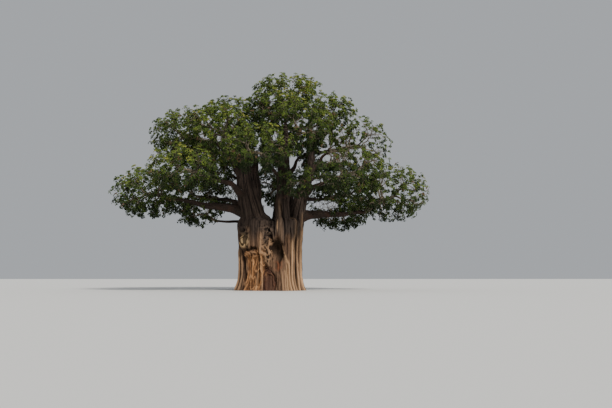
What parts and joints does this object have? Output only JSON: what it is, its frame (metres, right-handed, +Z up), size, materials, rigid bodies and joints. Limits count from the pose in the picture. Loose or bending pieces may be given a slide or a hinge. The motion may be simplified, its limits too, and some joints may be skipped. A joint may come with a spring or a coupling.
{
  "type": "baobab tree",
  "caption": "Large old baobab in full leaf: a short, very thick, folded trunk that forks into upright stems, with level lower boughs and a broad, domed, rather open crown.",
  "frame": {"origin": "the middle of the flat cut under the trunk, at ground level", "axes": "+X to the right of the front view, along the crown's greatest width; +Y away from the front; +Z up"},
  "size_m": [28.08, 23.7936, 19.5001],
  "materials": {
    "trunk_bark": "rough folded bark, grey-brown above, stripped to orange-brown fibres below",
    "stem_bark": "rough grey-brown bark in upright folds",
    "bough_bark": "rough grey-brown bark, reddish on the undersides",
    "foliage": "matt to satin dark green leaves on thin brown twigs"
  },
  "bodies": {
    "root": {"trunk": "trunk_bark", "left_stem": "stem_bark", "middle_stem": "stem_bark", "right_stem": "stem_bark", "back_left_stem": "stem_bark", "back_right_stem": "stem_bark", "left_low_bough": "bough_bark", "left_hanging_bough": "bough_bark", "front_left_low_bough": "bough_bark", "front_low_bough": "bough_bark", "front_right_low_bough": "bough_bark", "right_low_bough": "bough_bark", "right_under_bough": "bough_bark", "back_right_low_bough": "bough_bark", "back_low_bough": "bough_bark", "back_left_low_bough": "bough_bark", "left_middle_bough": "bough_bark", "front_left_middle_bough": "bough_bark", "front_middle_bough": "bough_bark", "right_middle_bough": "bough_bark", "back_right_middle_bough": "bough_bark", "back_left_middle_bough": "bough_bark", "upper_front_bough": "bough_bark", "inner_left_bough": "bough_bark", "inner_right_bough": "bough_bark", "inner_front_bough": "bough_bark", "left_low_leaves": "foliage", "left_hanging_leaves": "foliage", "front_left_low_leaves": "foliage", "front_low_leaves": "foliage", "front_right_low_leaves": "foliage", "right_low_leaves": "foliage", "right_under_leaves": "foliage", "back_right_low_leaves": "foliage", "back_low_leaves": "foliage", "back_left_low_leaves": "foliage", "left_middle_leaves": "foliage", "front_left_middle_leaves": "foliage", "front_middle_leaves": "foliage", "right_middle_leaves": "foliage", "back_right_middle_leaves": "foliage", "back_middle_leaves": "foliage", "back_left_middle_leaves": "foliage", "upper_left_leaves": "foliage", "crown_top_leaves": "foliage", "upper_right_leaves": "foliage", "upper_front_leaves": "foliage", "upper_back_leaves": "foliage", "inner_left_leaves": "foliage", "inner_right_leaves": "foliage", "inner_front_leaves": "foliage"}
  },
  "joints": []
}
